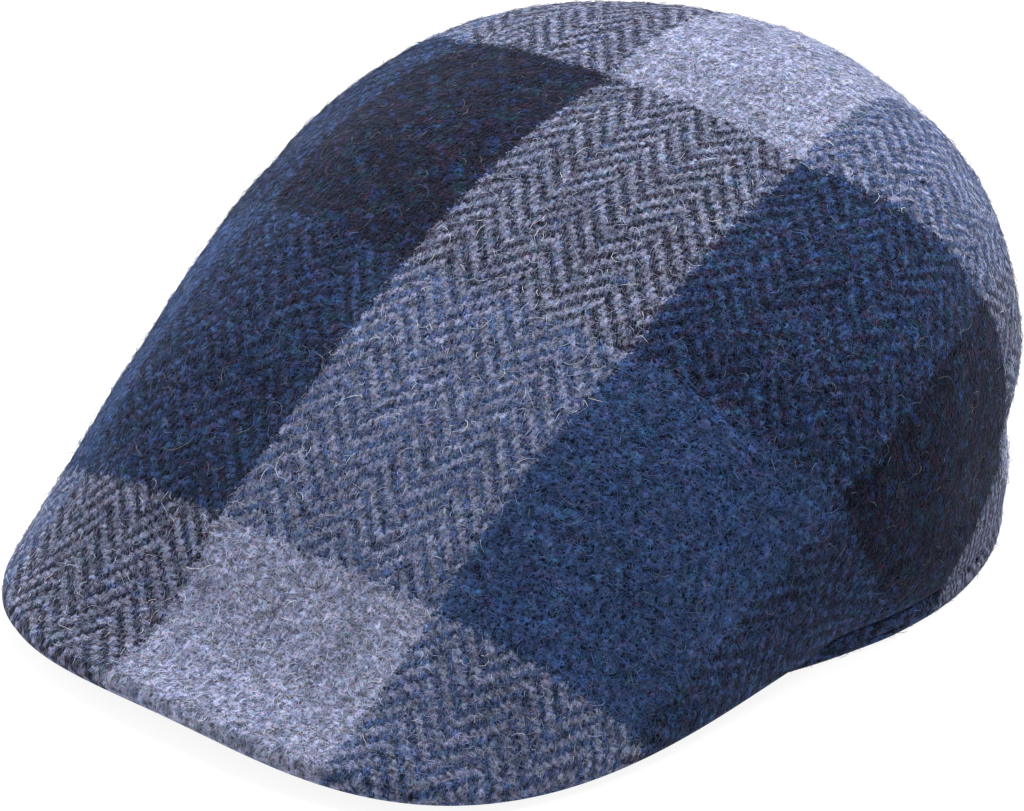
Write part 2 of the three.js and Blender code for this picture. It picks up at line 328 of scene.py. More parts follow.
# The studio, in metres, degrees and watts: floor, lamps and camera.
FLOOR_SIZE = 8
FLOOR_COLOUR = (0.12, 0.121, 0.122)
FLOOR_GLOW = 0.9
WORLD_LIGHT = 0.45
LAMPS = [
    {"name": "key", "azimuth": 180, "elevation": 60, "far": 1.8, "size": 2.2, "power": 80},
    {"name": "fill", "azimuth": -82, "elevation": 12, "far": 1.8, "size": 1.4, "power": 38},
]
CAMERA_AZIMUTH = 41.16
CAMERA_ELEVATION = 29.42
CAMERA_DISTANCE = 1.475
CAMERA_LENS = 233.9
CAMERA_SENSOR = 36
CAMERA_SEES = 50
AIM_RIGHT = -0.0032
AIM_UP = 0.0294

random = np.random.default_rng(seed=11)

# ---------------------------------------------------------------- shapes


def smooth_step(value, start, end):
    part = np.clip((np.asarray(value, float) - start) / (end - start), 0, 1)
    return part * part * (3 - 2 * part)


def between(start, end, part):
    return start + (end - start) * part


def section(name, angle):
    """A value of SECTIONS at any angle, on a smooth curve through its rows."""
    values = np.array([row[name] for row in SECTIONS], float)
    last = len(values) - 1
    place = min(max(angle / SECTION_STEP, 0), last - TINY)
    row = int(place)
    part = place - row
    before, here, there, after = (
        values[abs(k) if k <= last else 2 * last - k] for k in range(row - 1, row + 3)
    )
    leave = (there - before) / 2
    arrive = (after - here) / 2
    square, cube = part**2, part**3
    return (
        (2 * cube - 3 * square + 1) * here
        + (cube - 2 * square + part) * leave
        + (3 * square - 2 * cube) * there
        + (cube - square) * arrive
    )


def opening(turn):
    """Points of the head opening, turned from the front, and the way in from each."""
    turn = np.asarray(turn, float)
    length = np.where(np.cos(turn) > 0, OPENING_FRONT, OPENING_BACK)
    point = np.stack(
        [OPENING_HALF_WIDTH * np.sin(turn), OPENING_Y - length * np.cos(turn)], -1
    )
    inward = np.stack([-length * np.sin(turn), OPENING_HALF_WIDTH * np.cos(turn)], -1)
    return point, inward / np.linalg.norm(inward, axis=-1, keepdims=True)


def evenly(points, steps):
    """Points at equal distances along a line of points."""
    points = np.asarray(points, float)
    length = np.linalg.norm(np.diff(points, axis=0), axis=1)
    along = np.concatenate([[0], np.cumsum(length)])
    at = np.linspace(0, along[-1], steps + 1)
    return np.stack([np.interp(at, along, points[:, k]) for k in range(points.shape[1])], -1)


def half_edge():
    """The crown's edge on the wearer's left, from the front of the peak to the back."""
    turn = np.linspace(0, math.pi / 2, FINE_STEPS + 1)
    power = 2 / PEAK_SQUARENESS
    peak = np.stack(
        [
            PEAK_HALF_WIDTH * np.abs(np.sin(turn)) ** power,
            PEAK_Y - PEAK_REACH * np.abs(np.cos(turn)) ** power,
        ],
        -1,
    )
    oval, _ = opening(np.linspace(0, math.pi, 2 * FINE_STEPS + 1))
    oval = oval[oval[:, 1] > PEAK_Y]
    part = smooth_step(oval[:, 1], TEMPLE_Y - TEMPLE_BLEND, TEMPLE_Y + TEMPLE_BLEND)
    oval[:, 0] = between(PEAK_HALF_WIDTH, oval[:, 0], part)
    return np.concatenate([peak, oval])


def whole_edge(columns):
    left = evenly(half_edge(), columns // 2)
    return np.concatenate([left, (left * [-1, 1])[-2:0:-1]])


def station(point):
    """What the crown's section needs to know at a point of its edge."""
    x, y = point
    radius = math.hypot(x, y - POLE_Y)
    angle = math.degrees(math.atan2(abs(x), POLE_Y - y))
    peak = 1 - float(smooth_step(y, TEMPLE_Y - TEMPLE_BLEND, TEMPLE_Y))
    front = between(SEAM_FRONT, SEAM_CORNER, float(smooth_step(angle, 0, SEAM_CORNER_ANGLE)))
    hem = float(smooth_step(angle, SEAM_CORNER_ANGLE, SEAM_HEM_ANGLE))
    return {
        "radius": radius,
        "out": np.array([x, y - POLE_Y]) / radius,
        "angle": angle,
        "side": 1 if x >= 0 else -1,
        "peak": peak,
        "seam": between(front, SEAM_HEM, hem),
        "round": PEAK_ROUND * peak,
    }


def fold_depth(at, height):
    depth = np.zeros_like(height)
    for fold in FOLDS:
        if fold["side"] == at["side"]:
            near = ((at["angle"] - fold["angle"]) / fold["spread"]) ** 2
            depth += fold["depth"] * np.exp(
                -near - ((height - fold["height"]) / fold["tall"]) ** 2
            )
    return depth


def crown_section(at, rows):
    """Radius and height of the crown's cloth, from its turned edge to the top."""
    lean = math.radians(section("lean", at["angle"]))
    belly = section("belly", at["angle"])
    shoulder = section("shoulder", at["angle"])
    centre = at["radius"] - at["round"]
    sweep = max(math.pi / 2 - lean, 0)
    under = np.linspace(-math.pi / 2, 0, TURNED_POINTS)[:-1]
    turned = np.stack(
        [
            centre + at["round"] * np.cos(under),
            at["seam"] + TURN_UNDER * at["peak"] * np.sin(under),
        ],
        -1,
    )
    if at["peak"] < NO_PEAK:
        turned = turned[:0]
    part = np.linspace(0, 1, ROUNDED_POINTS)
    rounded = np.stack(
        [
            centre + at["round"] * np.cos(part * sweep),
            at["seam"] + SEAM_LIFT * part + at["round"] * np.sin(part * sweep),
        ],
        -1,
    )
    start = rounded[-1]
    crest = POLE_HEIGHT - POLE_SLOPE * shoulder * math.cos(math.radians(at["angle"]))
    controls = np.array(
        [
            start,
            start + belly * np.array([-math.cos(lean), math.sin(lean)]),
            [shoulder, crest],
            [0, POLE_HEIGHT],
        ]
    )
    t = np.linspace(0, 1, WALL_POINTS)[:, None]
    wall = (
        (1 - t) ** 3 * controls[0]
        + 3 * (1 - t) ** 2 * t * controls[1]
        + 3 * (1 - t) * t**2 * controls[2]
        + t**3 * controls[3]
    )
    line = evenly(np.concatenate([turned, rounded[:-1], wall]), rows)
    line[:, 0] -= fold_depth(at, line[:, 1]) * np.clip(line[:, 0] / FOLDS_FADE, 0, 1)
    return line


def crown_surface(columns, rows):
    """The crown's outer points, as columns round the edge by rows up to the top."""
    surface = np.zeros((columns, rows + 1, 3))
    for column, point in enumerate(whole_edge(columns)):
        at = station(point)
        line = crown_section(at, rows)
        surface[column, :, 0] = at["out"][0] * line[:, 0]
        surface[column, :, 1] = POLE_Y + at["out"][1] * line[:, 0]
        surface[column, :, 2] = line[:, 1]
    return surface


def cut_mesh(surface, darts, dart_rows):
    """The crown's points and triangles, cut open at the darts. Each place has two points,
    before and after it on the way round, which differ at the darts alone."""
    columns, rows = surface.shape[0], surface.shape[1] - 1
    index = np.zeros((columns, rows + 1, 2), int)
    count = 0
    for column in range(columns):
        for row in range(rows):
            index[column, row] = count
            count += 1
            if column in darts and row < dart_rows:
                index[column, row, 1] = count
                count += 1
    index[:, rows] = count
    points = np.zeros((count + 1, 3))
    points[index[..., 0]] = surface
    points[index[..., 1]] = surface
    here = index[:, :, 1]
    there = np.roll(index[:, :, 0], -1, axis=0)
    lower = np.stack([here[:, :-1], there[:, :-1], there[:, 1:]], -1).reshape(-1, 3)
    upper = np.stack([here[:, :-2], there[:, 1:-1], here[:, 1:-1]], -1).reshape(-1, 3)
    return index, points, np.concatenate([lower, upper])


def flat_triangles(points, faces):
    """Each triangle laid flat by itself, with its first side along the cloth's width."""
    side = points[faces[:, 1]] - points[faces[:, 0]]
    other = points[faces[:, 2]] - points[faces[:, 0]]
    length = np.linalg.norm(side, axis=1)
    along = side / length[:, None]
    normal = np.cross(side, other)
    normal /= np.linalg.norm(normal, axis=1)[:, None]
    up = np.cross(normal, along)
    flat = np.zeros((len(faces), 3, 2))
    flat[:, 1, 0] = length
    flat[:, 2, 0] = (other * along).sum(1)
    flat[:, 2, 1] = (other * up).sum(1)
    return flat


def cloth_edges(faces, flat):
    """Each triangle's sides: both ends, the stiffness, and the side as it lies flat."""
    edges = []
    for corner in range(3):
        first, second = (corner + 1) % 3, (corner + 2) % 3
        one = flat[:, first] - flat[:, corner]
        two = flat[:, second] - flat[:, corner]
        twice = np.abs(one[:, 0] * two[:, 1] - one[:, 1] * two[:, 0])
        weight = np.clip((one * two).sum(1) / twice, *EDGE_STIFFNESS)
        kept = flat[:, second] - flat[:, first]
        edges.append((faces[:, first], faces[:, second], weight, kept))
    return edges


def eased_cloth(surface, darts, dart_rows):
    """Flat cloth places of the crown's points: the cut cloth keeps its threads' spacing as
    nearly as it can, opens at the darts, and is held at the patch corners. Each point has
    two places, as in cut_mesh."""
    index, points, faces = cut_mesh(surface, darts, dart_rows)
    edges = cloth_edges(faces, flat_triangles(points, faces))
    system = np.zeros((len(points), len(points)))
    for start, end, weight, _ in edges:
        np.add.at(system, (start, start), weight)
        np.add.at(system, (end, end), weight)
        np.add.at(system, (start, end), -weight)
        np.add.at(system, (end, start), -weight)
    held = np.zeros((len(points), 2))
    for patch in PATCH_CORNERS:
        far = ((points - np.array(patch["at"])) ** 2).sum(1)
        near = np.argsort(far, kind="stable")[:CORNER_POINTS]
        share = np.exp(-far[near] / CORNER_SPREAD)
        share /= share.sum()
        system[np.ix_(near, near)] += CORNER_HOLD * np.outer(share, share)
        place = np.array([patch["across"], patch["along"]])
        held[near] += CORNER_HOLD * share[:, None] * place
    solve = np.linalg.inv(system)

    (middle_across, middle_along), (wider, longer) = FIRST_MIDDLE, FIRST_STRETCH
    cloth = np.stack(
        [
            middle_across + wider * points[:, 0],
            middle_along + longer * (points[:, 1] - POLE_Y),
        ],
        -1,
    )
    for _ in range(EASE_ROUNDS):
        turned = np.zeros((len(faces), 2))
        for start, end, weight, kept in edges:
            now = cloth[end] - cloth[start]
            turned[:, 0] += weight * (now * kept).sum(1)
            turned[:, 1] += weight * (now[:, 1] * kept[:, 0] - now[:, 0] * kept[:, 1])
        turned /= np.linalg.norm(turned, axis=1)[:, None]
        wanted = held.copy()
        for start, end, weight, kept in edges:
            pull = np.stack(
                [
                    turned[:, 0] * kept[:, 0] - turned[:, 1] * kept[:, 1],
                    turned[:, 1] * kept[:, 0] + turned[:, 0] * kept[:, 1],
                ],
                -1,
            ) * weight[:, None]
            np.add.at(wanted, end, pull)
            np.add.at(wanted, start, -pull)
        cloth = solve @ wanted
    return cloth[index]


def finer(coarse, columns, rows):
    """Cloth places at every point of the fine surface, between those of the eased one."""
    step_column = columns // coarse.shape[0]
    step_row = rows // (coarse.shape[1] - 1)
    after = coarse[:, :, 1]
    before = np.roll(coarse[:, :, 0], -1, axis=0)
    part = (np.arange(step_column + 1) / step_column)[None, :, None, None]
    strip = after[:, None] * (1 - part) + before[:, None] * part
    height = np.arange(rows + 1) / step_row
    low = np.minimum(height.astype(int), coarse.shape[1] - 2)
    share = (height - low)[None, None, :, None]
    strip = strip[:, :, low] * (1 - share) + strip[:, :, low + 1] * share
    left = strip[:, :-1].reshape(columns, rows + 1, 2)
    right = strip[:, 1:].reshape(columns, rows + 1, 2)
    return left, right


# ---------------------------------------------------------------- pieces


def deselect():
    if bpy.context.object and bpy.context.object.mode != "OBJECT":
        bpy.ops.object.mode_set(mode="OBJECT")
    bpy.ops.object.select_all(action="DESELECT")


def select_only(piece):
    deselect()
    piece.select_set(True)
    bpy.context.view_layer.objects.active = piece


def new_sheet(name, columns, rows):
    """A flat grid of cloth, ready to be laid: columns by rows of faces."""
    deselect()
    bpy.ops.mesh.primitive_grid_add(x_subdivisions=columns, y_subdivisions=rows, size=1)
    piece = bpy.context.object
    piece.name = name
    piece.data.name = name
    return piece


def lay_sheet(piece, points, left, right):
    """Puts the grid's points in place and gives each face its place on the flat cloth."""
    columns = left.shape[0]
    mesh = piece.data
    order = points.transpose(1, 0, 2).reshape(-1, 3) * MM
    mesh.vertices.foreach_set("co", order.astype(np.float32).ravel())
    vertex = np.zeros(len(mesh.loops), np.int64)
    mesh.loops.foreach_get("vertex_index", vertex)
    face = np.zeros(len(mesh.loops), np.int64)
    starts = np.zeros(len(mesh.polygons), np.int64)
    mesh.polygons.foreach_get("loop_start", starts)
    face[starts] = 1
    face = np.cumsum(face) - 1
    column, row = vertex % (columns + 1), vertex // (columns + 1)
    owner = face % columns
    on_left = column == owner
    place = np.where(on_left[:, None], left[owner, row], right[owner, row])
    layer = mesh.uv_layers[0]
    layer.name = "cloth"
    layer.data.foreach_set("uv", (place * MM).astype(np.float32).ravel())
    mesh.update()
    bpy.ops.object.mode_set(mode="EDIT")
    bpy.ops.mesh.select_all(action="SELECT")
    bpy.ops.mesh.remove_doubles(threshold=SAME_POINT)
    bpy.ops.mesh.normals_make_consistent(inside=False)
    bpy.ops.object.mode_set(mode="OBJECT")
    bpy.ops.object.shade_smooth()


def closed_ring(points):
    """The same points with the first column again at the end."""
    return np.concatenate([points, points[:1]], axis=0)


def thicken(piece, wall):
    """Gives a laid sheet its wall, on the inner side."""
    solid = piece.modifiers.new("wall", "SOLIDIFY")
    solid.thickness = wall * MM
    solid.offset = -1
    solid.use_even_offset = False
    select_only(piece)
    bpy.ops.object.modifier_apply(modifier=solid.name)


def point_normals(points):
    """Outward normals of a surface that is closed round its columns."""
    round_way = np.roll(points, -1, axis=0) - np.roll(points, 1, axis=0)
    up_way = np.gradient(points, axis=1)
    normal = np.cross(round_way, up_way)
    size = np.linalg.norm(normal, axis=-1, keepdims=True)
    normal = normal / np.maximum(size, TINY)
    normal[size[..., 0] < TINY] = (0, 0, 1)
    return normal


DART_SEAM = DART_COLUMN * COLUMNS // EASE_COLUMNS
DART_TOP = DART_ROWS * ROWS // EASE_ROWS


def dart_relief(points):
    """How far the cloth sinks at each dart's seam and swells beside it."""
    columns, rows = points.shape[:2]
    step = np.linalg.norm(np.roll(points, -1, axis=0) - points, axis=2)
    gone, full = DART_FADE
    fade = smooth_step(np.arange(rows), DART_TOP + gone, DART_TOP + full)
    relief = np.zeros((columns, rows))
    for seam in (DART_SEAM, columns - DART_SEAM):
        for way in (1, -1):
            far = np.zeros(rows)
            for k in range(DART_REACH):
                column = (seam + way * k) % columns
                beside = far - DART_SWELL_AT * DART_WIDE
                sunk = -DART_SINKS * np.exp(-((far / DART_WIDE) ** 2))
                swell = DART_SWELLS * np.exp(-((beside / (DART_SWELL_WIDE * DART_WIDE)) ** 2))
                # The seam's own column is reached from both sides.
                share = 0.5 if k == 0 else 1.0
                relief[column] += share * (sunk + swell) * fade
                far = far + step[column if way > 0 else (column - 1) % columns]
    return relief


def wave_relief(points):
    """The cloth's slight unevenness, as low waves that run different ways."""
    relief = np.zeros(points.shape[:2])
    for wave in WAVES:
        turn = points @ np.array([wave["x"], wave["y"], wave["z"]])
        relief += wave["size"] * np.sin(turn / wave["long"] * 2 * math.pi + wave["start"])
    return relief * smooth_step(points[..., 2], *WAVES_RISE)


def crease_relief(points):
    """Short creases: how far each point sinks by its distance from their lines."""
    relief = np.zeros(points.shape[:2])
    for crease in CREASES:
        start, end = np.array(crease["from"], float), np.array(crease["to"], float)
        line = end - start
        part = np.clip((points - start) @ line / (line @ line), 0, 1)
        far = np.linalg.norm(points - start - part[..., None] * line, axis=2)
        relief -= crease["deep"] * np.exp(-((far / crease["wide"]) ** 2))
    return relief


crown_points = crown_surface(COLUMNS, ROWS)
crown_push = dart_relief(crown_points) + wave_relief(crown_points) + crease_relief(crown_points)
crown_points = crown_points + point_normals(crown_points) * crown_push[..., None]
coarse_points = crown_surface(EASE_COLUMNS, EASE_ROWS)
darts = (DART_COLUMN, EASE_COLUMNS - DART_COLUMN)
coarse_cloth = eased_cloth(coarse_points, darts, DART_ROWS)
cloth_left, cloth_right = finer(coarse_cloth, COLUMNS, ROWS)
crown_normals = point_normals(crown_points)

crown = new_sheet("crown_cloth", COLUMNS, ROWS)
lay_sheet(crown, closed_ring(crown_points), cloth_left, cloth_right)
thicken(crown, CLOTH)
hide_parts("crown")
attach(crown, "root")


def crown_radius(at, height):
    """How far the crown's wall is from the pole at a height."""
    line = crown_section(at, RADIUS_ROWS)
    rising = line[int(np.argmax(line[:, 0])) :]
    return float(np.interp(height, rising[:, 1], rising[:, 0]))


def hem_rise(turn):
    """How far the hem is lifted above the ground at the forehead."""
    degrees = math.degrees(abs(turn))
    return HEM_FRONT_RISE * (1 - float(smooth_step(degrees, HEM_RISE_FROM, HEM_RISE_TO)))


def hem_section(turn):
    """The hem's outline at one place: a rolled lip, and the cloth turned up inside it."""
    point, inward = opening(turn)
    at = station(point)
    rise = hem_rise(turn)
    beside = float(smooth_step(point[1], TEMPLE_Y, TEMPLE_Y + TEMPLE_BLEND))
    wall = max(at["radius"] - crown_radius(at, TURN_UP_TOP), 0) * beside
    lip = between(LIP_INSET, HEM_BULGE, beside)
    inner = TURN_UP_INSET + HEM_CLOTH
    # Out over the lip, down and round under it, then up the cloth inside and back down.
    outline = [
        (TURN_UP_INSET, rise + LIP_TOP),
        (lip + 1, rise + LIP_TOP),
        (lip + 0.3, rise + LIP_TOP - 0.5),
        (lip, rise + LIP_TOP - 1.5),
        (lip, rise + 2),
        (lip + 0.4, rise + 0.7),
        (lip + 1.2, rise),
        (inner - 0.5, rise),
        (inner, rise + 0.8),
        (inner + wall, TURN_UP_TOP - 0.5),
        (inner + wall - 0.5, TURN_UP_TOP),
        (inner + wall - 0.9, TURN_UP_TOP),
        (TURN_UP_INSET + wall, TURN_UP_TOP - 0.6),
        (TURN_UP_INSET, rise + LIP_TOP),
    ]
    flat = evenly(outline, HEM_STEPS)
    place = point + inward * flat[:, :1]
    return np.concatenate([place, flat[:, 1:]], axis=1)


hem_turns = [2 * math.pi * k / COLUMNS for k in range(COLUMNS)]
hem_points = np.stack([hem_section(t if t < math.pi else t - 2 * math.pi) for t in hem_turns])
# The hem is one cloth with the crown, so its threads run on from the crown's edge.
edge = crown_points[:, 0]
hem_cloth = np.zeros((COLUMNS, HEM_STEPS + 1, 2))
for column, loop in enumerate(hem_points):
    nearest = int(np.argmin(((edge[:, :2] - loop[HEM_OUTER_POINT, :2]) ** 2).sum(1)))
    start = cloth_left[nearest, 0]
    outward = start - cloth_left[nearest, HEM_THREAD_ROW]
    outward /= np.linalg.norm(outward)
    gone = np.cumsum(np.linalg.norm(np.diff(loop, axis=0, prepend=loop[:1]), axis=1))
    hem_cloth[column] = start + outward * (gone[:, None] - HEM_THREAD_BACK)
hem = new_sheet("hem_turn_up", COLUMNS, HEM_STEPS)
lay_sheet(hem, closed_ring(hem_points), hem_cloth, np.roll(hem_cloth, -1, axis=0))
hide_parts("hem_band")
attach(hem, "root")


def under_section(point, turn):
    """The peak's underside at one place, from its rolled edge in to the hem and back."""
    at = station(point)
    hem_point, inward = opening(turn)
    outer = point - at["out"] * between(PEAK_TIP_INSET, PEAK_ROLL, at["peak"])
    inner = hem_point + inward * (LIP_INSET - GAP)
    tip = float(smooth_step(point[1], PEAK_ENDS_Y - PEAK_TAPER, PEAK_ENDS_Y))
    thick = between(PEAK_THICK, PEAK_TIP_THICK, tip)
    outer_top = at["seam"] - GAP
    inner_top = LIP_TOP + hem_rise(turn)
    across = np.linspace(0, 1, UNDER_STEPS)
    top = outer_top + (inner_top - outer_top) * across**UNDER_CURVE
    turned = min(UNDER_ROUND, thick / np.linalg.norm(outer - inner))
    edge_round = np.sqrt(np.clip(1 - (1 - across / turned) ** 2, 0, 1)) * (across < turned)
    edge_round += across >= turned
    bottom = top - thick * between(UNDER_EDGE, 1, edge_round)
    place = outer + (inner - outer) * across[:, None]
    upper = np.column_stack([place, top])[::-1]
    lower = np.column_stack([place, bottom])
    return np.concatenate([upper, lower, upper[:1]])


def close_ends(piece):
    """Fills the holes of a piece that is open at its ends."""
    select_only(piece)
    bpy.ops.object.mode_set(mode="EDIT")
    bpy.ops.mesh.select_all(action="DESELECT")
    bpy.ops.mesh.select_non_manifold()
    bpy.ops.mesh.fill()
    bpy.ops.mesh.select_all(action="SELECT")
    bpy.ops.mesh.normals_make_consistent(inside=False)
    bpy.ops.object.mode_set(mode="OBJECT")


left_edge = evenly(half_edge(), COLUMNS // 2)
left_edge = left_edge[left_edge[:, 1] < PEAK_ENDS_Y]
end_turn = math.acos((OPENING_Y - PEAK_ENDS_Y) / OPENING_FRONT)
left_under = np.stack(
    [
        under_section(point, end_turn * k / (len(left_edge) - 1))
        for k, point in enumerate(left_edge)
    ]
)
right_under = left_under[1:] * [-1, 1, 1]
under_points = np.concatenate([left_under[::-1], right_under])
under = new_sheet("peak_under_cloth", len(under_points) - 1, under_points.shape[1] - 1)
under_cloth = under_points[..., :2] * [1, -1]
lay_sheet(under, under_points, under_cloth[:-1], under_cloth[1:])
close_ends(under)
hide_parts("peak")
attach(under, "root")

# ---------------------------------------------------------------- loose fibres


def banded(thread, start, bands, colours):
    """One of three colours for each thread, by its place in the check's repeat of bands."""
    place = (thread[:, None] - start) % sum(bands)
    colour = np.where(place < bands[0], colours[0], colours[1])
    return np.where(place < bands[0] + bands[1], colour, colours[2])


def yarns_at(cloth):
    """The warp's and the weft's colour at places on the flat cloth."""
    end = np.floor((cloth[:, 0] - HERRINGBONE_START) / END)
    pick = np.floor(cloth[:, 1] / PICK)
    warp = banded(end, WARP_START, WARP_BANDS, (DARK_YARN, LIGHT_YARN, BLUE_YARN))
    weft = banded(pick, WEFT_START, WEFT_BANDS, (BLUE_YARN, DARK_YARN, LIGHT_YARN))
    return warp, weft


def unit(vectors):
    return vectors / np.maximum(np.linalg.norm(vectors, axis=-1, keepdims=True), TINY)


CROWN_GROUND = {
    "points": crown_points,
    "normals": crown_normals,
    "left": cloth_left,
    "right": cloth_right,
    "rows": (FIBRE_FIRST_ROW, ROWS - 1),
}
HEM_GROUND = {
    "points": hem_points,
    "normals": point_normals(hem_points),
    "left": hem_cloth,
    "right": np.roll(hem_cloth, -1, axis=0),
    "rows": HEM_OUTER_STEPS,
}


def fibre_roots(ground, first, last, count):
    """Places spread evenly over some of a surface's columns, with the way out and along."""
    surface, normals, left, right = (ground[k] for k in ("points", "normals", "left", "right"))
    rows = np.arange(*ground["rows"])
    column, row = (grid.ravel() for grid in np.meshgrid(np.arange(first, last), rows))
    beside = (column + 1) % COLUMNS
    corners = [surface[c, r] for c, r in ((column, row), (beside, row), (column, row + 1))]
    area = np.linalg.norm(np.cross(corners[1] - corners[0], corners[2] - corners[0]), axis=1)
    reached = np.cumsum(area)
    cell = np.searchsorted(reached, random.random(count) * reached[-1])
    column, row, beside = column[cell], row[cell], beside[cell]
    u, v = random.random((2, count, 1))

    def inside(near, far, near_up, far_up):
        return (near * (1 - u) + far * u) * (1 - v) + (near_up * (1 - u) + far_up * u) * v

    places = ((column, row), (beside, row), (column, row + 1), (beside, row + 1))
    root = inside(*(surface[c, r] for c, r in places))
    out = unit(inside(*(normals[c, r] for c, r in places)))
    cloth = inside(
        left[column, row], right[column, row], left[column, row + 1], right[column, row + 1]
    )
    along = unit(surface[beside, row] - surface[column, row])
    return root, out, unit(along - out * (along * out).sum(1, keepdims=True)), cloth


def gamma_sizes(sizes, count):
    """Random sizes of fibres: most lie near the least one, and a few far over it."""
    least, shape, scale = sizes
    return least + random.gamma(shape, scale, (count, 1))


def short_paths(root, out, along):
    """Bent fibres that rise from their roots and lie over again."""
    count = len(root)
    turn = random.uniform(0, 2 * math.pi, (count, 1))
    forward = along * np.cos(turn) + np.cross(out, along) * np.sin(turn)
    side = np.cross(out, forward)
    length = gamma_sizes(SHORT_LENGTH, count)
    rise = gamma_sizes(SHORT_RISE, count)
    curl = random.normal(0, SHORT_CURL, (count, 1))
    path = []
    for part in SHORT_PARTS:
        lifted = rise * (part - SHORT_BEND * part**2) * length - FIBRE_ROOT
        path.append(
            root
            + forward * length * (part - SHORT_HOOK * abs(curl) * part**2)
            + side * curl * length * part**2
            + out * lifted
        )
    return np.stack(path, 1), side


def curling_paths(root, out, along, steps, length, turning, rise):
    """Fibres that curl as they go, close over the cloth."""
    heading = random.uniform(0, 2 * math.pi, (len(root), 1))
    drift = random.normal(0, CURL_DRIFT, (len(root), 1)) * turning / steps
    place = root - out * FIBRE_ROOT
    path = [place]
    for step in range(steps):
        lift = rise * math.cos((step + 0.5) / steps * CURL_DESCENT)
        way = along * np.cos(heading) + np.cross(out, along) * np.sin(heading) + out * lift
        place = place + way * length / steps
        path.append(place)
        heading = heading + turning / steps + drift * (step - steps / 2) / steps
    return np.stack(path, 1), unit(out + FIBRE_TILT * along)


def fibre_mesh(paths, across, radius):
    """Three-sided closed fibres: their points, four-cornered faces and three-cornered ones."""
    count, rings = paths.shape[0], paths.shape[1] - 1
    way = unit(np.gradient(paths, axis=1))
    first = unit(np.cross(way, across[:, None]))
    second = np.cross(way, first)
    points = np.zeros((count, rings * 3 + 1, 3))
    for k in range(3):
        angle = 2 * math.pi * k / 3
        ring = first * math.cos(angle) + second * math.sin(angle)
        points[:, k : rings * 3 : 3] = (paths + ring * radius[:, None])[:, :rings]
    points[:, rings * 3] = paths[:, rings]
    points[..., 2] = np.maximum(points[..., 2], FIBRE_FLOOR)
    fours, threes = [], [(0, 2, 1)]
    for ring in range(rings - 1):
        for k in range(3):
            low, high = ring * 3, ring * 3 + 3
            fours.append((low + k, low + (k + 1) % 3, high + (k + 1) % 3, high + k))
    for k in range(3):
        threes.append((rings * 3 - 3 + k, rings * 3 - 3 + (k + 1) % 3, rings * 3))
    start = (np.arange(count) * (rings * 3 + 1))[:, None, None]
    return points.reshape(-1, 3), np.array(fours) + start, np.array(threes) + start


def new_fuzz(name, kinds):
    """One mesh of many fibres. Each fibre has its own colour, and its own small square of
    the map that its colour can be drawn on."""
    points, fours, threes, colours = [], [], [], []
    point_owner, four_owner, three_owner = [], [], []
    shift = made = 0
    for paths, across, radius, colour in kinds:
        place, four, three = fibre_mesh(paths, across, radius)
        fibre = np.arange(len(paths)) + made
        point_owner.append(np.repeat(fibre, len(place) // len(paths)))
        four_owner.append(np.repeat(fibre, 4 * four.shape[1]))
        three_owner.append(np.repeat(fibre, 3 * three.shape[1]))
        points.append(place)
        fours.append(four.reshape(-1, 4) + shift)
        threes.append(three.reshape(-1, 3) + shift)
        colours.append(colour)
        shift += len(place)
        made += len(paths)
    points, fours, threes = np.concatenate(points), np.concatenate(fours), np.concatenate(threes)
    mesh = bpy.data.meshes.new(name)
    mesh.vertices.add(len(points))
    mesh.vertices.foreach_set("co", (points * MM).astype(np.float32).ravel())
    corner = np.concatenate([fours.ravel(), threes.ravel()])
    mesh.loops.add(len(corner))
    mesh.loops.foreach_set("vertex_index", corner.astype(np.int32))
    mesh.polygons.add(len(fours) + len(threes))
    starts = np.concatenate(
        [np.arange(len(fours)) * 4, len(fours) * 4 + np.arange(len(threes)) * 3]
    )
    mesh.polygons.foreach_set("loop_start", starts.astype(np.int32))
    mesh.update(calc_edges=True)
    attribute = mesh.color_attributes.new("yarn", "FLOAT_COLOR", "POINT")
    yarn = np.ones((len(points), 4), np.float32)
    yarn[:, :3] = np.concatenate(colours)[np.concatenate(point_owner)]
    attribute.data.foreach_set("color", yarn.ravel())
    owner = np.concatenate(four_owner + three_owner)
    side = math.ceil(math.sqrt(made))
    cell = np.stack([owner % side, owner // side], -1)
    square = np.array([(0.2, 0.2), (0.8, 0.2), (0.8, 0.8), (0.2, 0.8)])
    in_fours = np.tile(square, (len(fours), 1))
    in_threes = np.tile(square[:3], (len(threes), 1))
    place = (cell + np.concatenate([in_fours, in_threes])) / side
    layer = mesh.uv_layers.new(name="OFBake")
    layer.data.foreach_set("uv", place.astype(np.float32).ravel())
    mesh.shade_smooth()
    piece = bpy.data.objects.new(name, mesh)
    bpy.context.scene.collection.objects.link(piece)
    return piece


def fibre_colours(cloth):
    """Each fibre is one of its place's two yarns, lighter or darker, or a stray colour."""
    warp, weft = yarns_at(cloth)
    count = len(cloth)
    share = np.clip(random.random((count, 1)) * 2 - 0.5, 0, 1)
    colour = warp * share + weft * (1 - share)
    colour = colour * FIBRE_LIGHTER * np.exp(random.normal(0, FIBRE_VARIES, (count, 1)))
    colour += np.array(FIBRE_PALE) * random.random((count, 1)) ** 3
    chance = random.random(count)
    for fleck in FLECKS:
        colour[(chance >= 0) & (chance < fleck["share"])] = fleck["colour"]
        chance = chance - fleck["share"]
    return np.clip(colour, 0, BRIGHTEST)


def short_fibres(ground, first, last, count):
    root, out, along, cloth = fibre_roots(ground, first, last, count)
    paths, across = short_paths(root, out, along)
    radius = random.uniform(*SHORT_THICK, (count, 1)) * FIBRE_RADIUS
    return paths, across, radius, fibre_colours(cloth)


